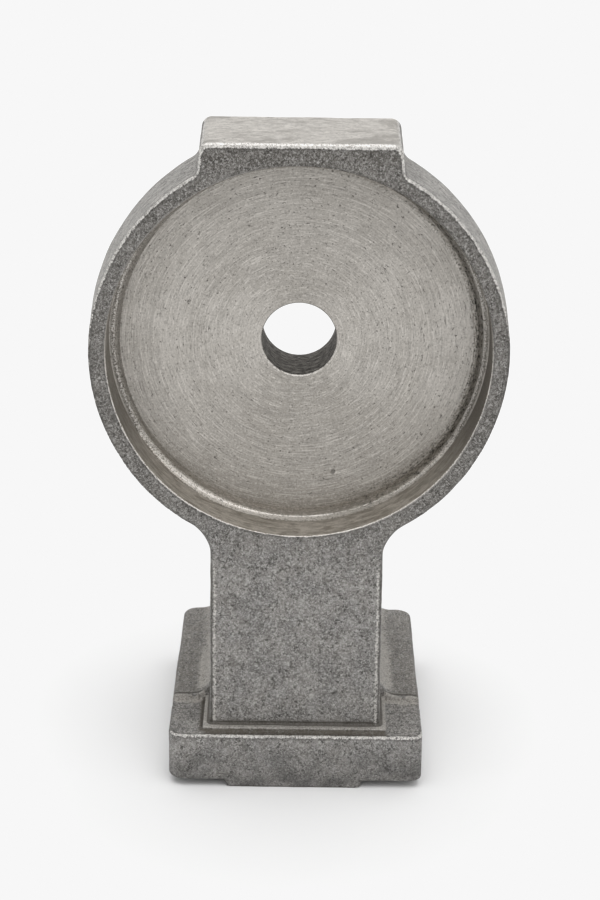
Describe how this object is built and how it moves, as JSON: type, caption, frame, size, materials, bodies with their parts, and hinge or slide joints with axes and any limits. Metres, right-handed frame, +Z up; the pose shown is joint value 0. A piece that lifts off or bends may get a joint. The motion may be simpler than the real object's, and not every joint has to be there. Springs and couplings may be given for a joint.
{
  "type": "pedestal cup bracket",
  "caption": "Cast pedestal bracket: a round, shallow turned cup with a through bore and a flat top pad, on a stem with a stepped foot and a locating key.",
  "frame": {"origin": "middle of the bounding box in X and Y, on the plane that the foot's key rests on", "axes": "+Z up from the foot to the top pad, +Y from the open front of the cup to its back, +X to the right seen from the front"},
  "size_m": [0.088, 0.0708, 0.1427],
  "materials": {
    "cast_skin": "tumbled cast skin, fine grain, worn bright edges",
    "turned_face": "turned, satin, fine concentric lines and small pits",
    "pad_skin": "smooth rubbed face, satin"
  },
  "bodies": {
    "root": {"cup_wall": "cast_skin", "cup_floor": "turned_face", "top_pad": "pad_skin", "stem": "cast_skin", "plinth": "cast_skin", "base_ledge": "cast_skin", "base_block": "cast_skin", "locating_key": "cast_skin"}
  },
  "joints": []
}
